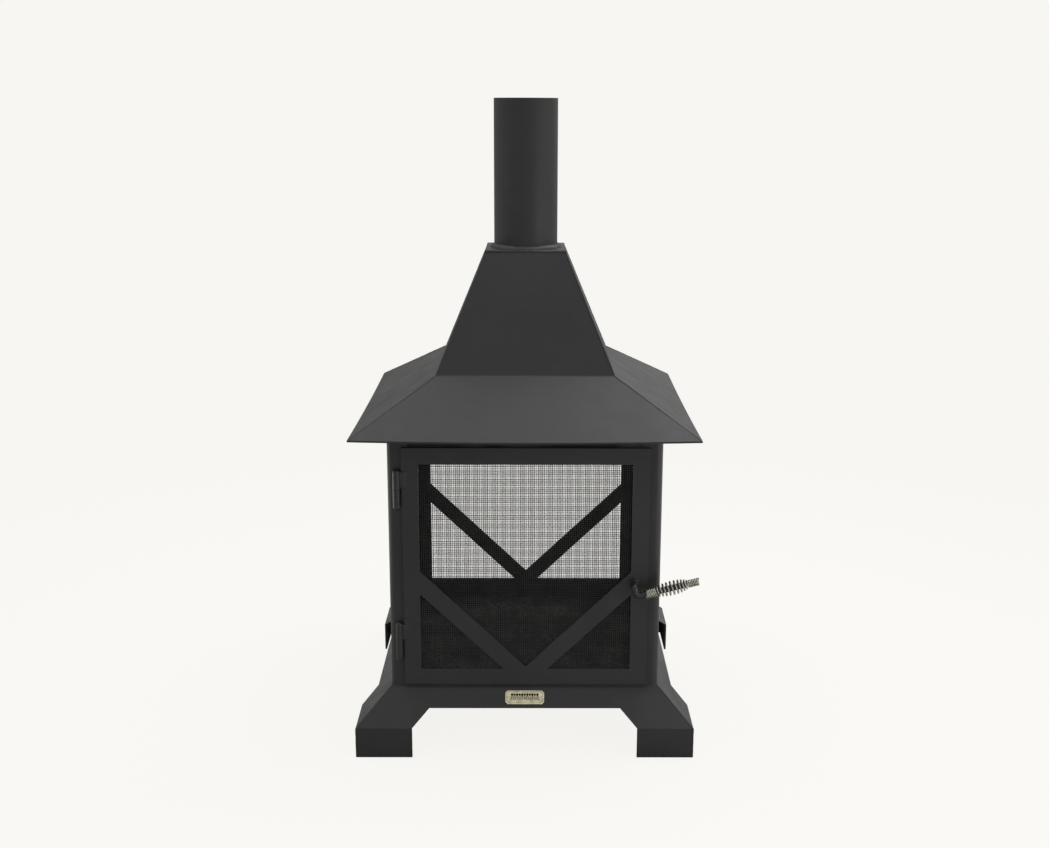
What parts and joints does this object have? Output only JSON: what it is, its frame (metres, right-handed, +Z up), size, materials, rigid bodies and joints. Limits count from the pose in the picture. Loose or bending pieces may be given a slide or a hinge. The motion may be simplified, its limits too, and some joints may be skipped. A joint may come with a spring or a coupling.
{
  "type": "chiminea",
  "caption": "Square welded steel chiminea with splayed feet, flared roof, tapered hood and flue pipe, a hinged mesh door with a spring-grip latch, and a mesh rear window.",
  "frame": {"origin": "on the ground, under the axis of the flue pipe, at the middle of the four feet", "axes": "+Z up, +X to the right of someone facing the door, +Y away from them: the door is on the -Y side and its hinges are on the -X side"},
  "size_m": [0.6642, 0.656, 1.25],
  "materials": {
    "black_paint": "satin high-heat paint with a fine sprayed texture",
    "burnt_paint": "matt, heat-worn, with faint ash",
    "woven_wire": "plain-woven steel wire, painted black",
    "bare_steel": "turned",
    "nickel": "nickel-plated coiled wire",
    "brass": "pale antique brass, satin"
  },
  "bodies": {
    "shell": {"hood_panel_front": "black_paint", "hood_panel_rear": "black_paint", "hood_panel_left": "black_paint", "hood_panel_right": "black_paint", "hood_cap": "black_paint", "chimney_pipe": "black_paint", "firebox_side_left": "black_paint", "firebox_side_right": "black_paint", "sill_front": "black_paint", "sill_rear": "black_paint", "header_front": "black_paint", "header_rear": "black_paint", "floor_plate": "burnt_paint", "rear_frame": "black_paint", "rear_mesh": "woven_wire", "base_skirt_front": "black_paint", "base_skirt_rear": "black_paint", "base_skirt_left": "black_paint", "base_skirt_right": "black_paint", "nameplate": "brass", "nameplate_rivet_left": "brass", "nameplate_rivet_right": "brass", "hinge_frame_barrel_upper": "black_paint", "hinge_frame_barrel_lower": "black_paint", "hinge_pin_upper": "bare_steel", "hinge_pin_lower": "bare_steel"},
    "door": {"door_frame": "black_paint", "door_mesh": "woven_wire", "door_mesh_bar_top": "black_paint", "door_mesh_bar_bottom": "black_paint", "door_mesh_bar_left": "black_paint", "door_mesh_bar_right_lower": "black_paint", "door_mesh_bar_right_upper": "black_paint", "hinge_door_barrel_upper": "black_paint", "hinge_door_barrel_lower": "black_paint", "latch_bush": "black_paint"},
    "latch": {"latch_rod": "black_paint", "latch_tongue": "black_paint", "spring_grip": "nickel"}
  },
  "joints": [
    {"name": "door_hinge", "type": "hinge", "parent": "shell", "child": "door", "pos_m": [-0.2443, -0.2703, 0.3718], "axis": [0, 0, -1], "range_deg": [0, 170]},
    {"name": "latch_turn", "type": "hinge", "parent": "door", "child": "latch", "pos_m": [0.2095, -0.267, 0.3399], "axis": [0, -1, 0], "range_deg": [-78, 60]}
  ]
}
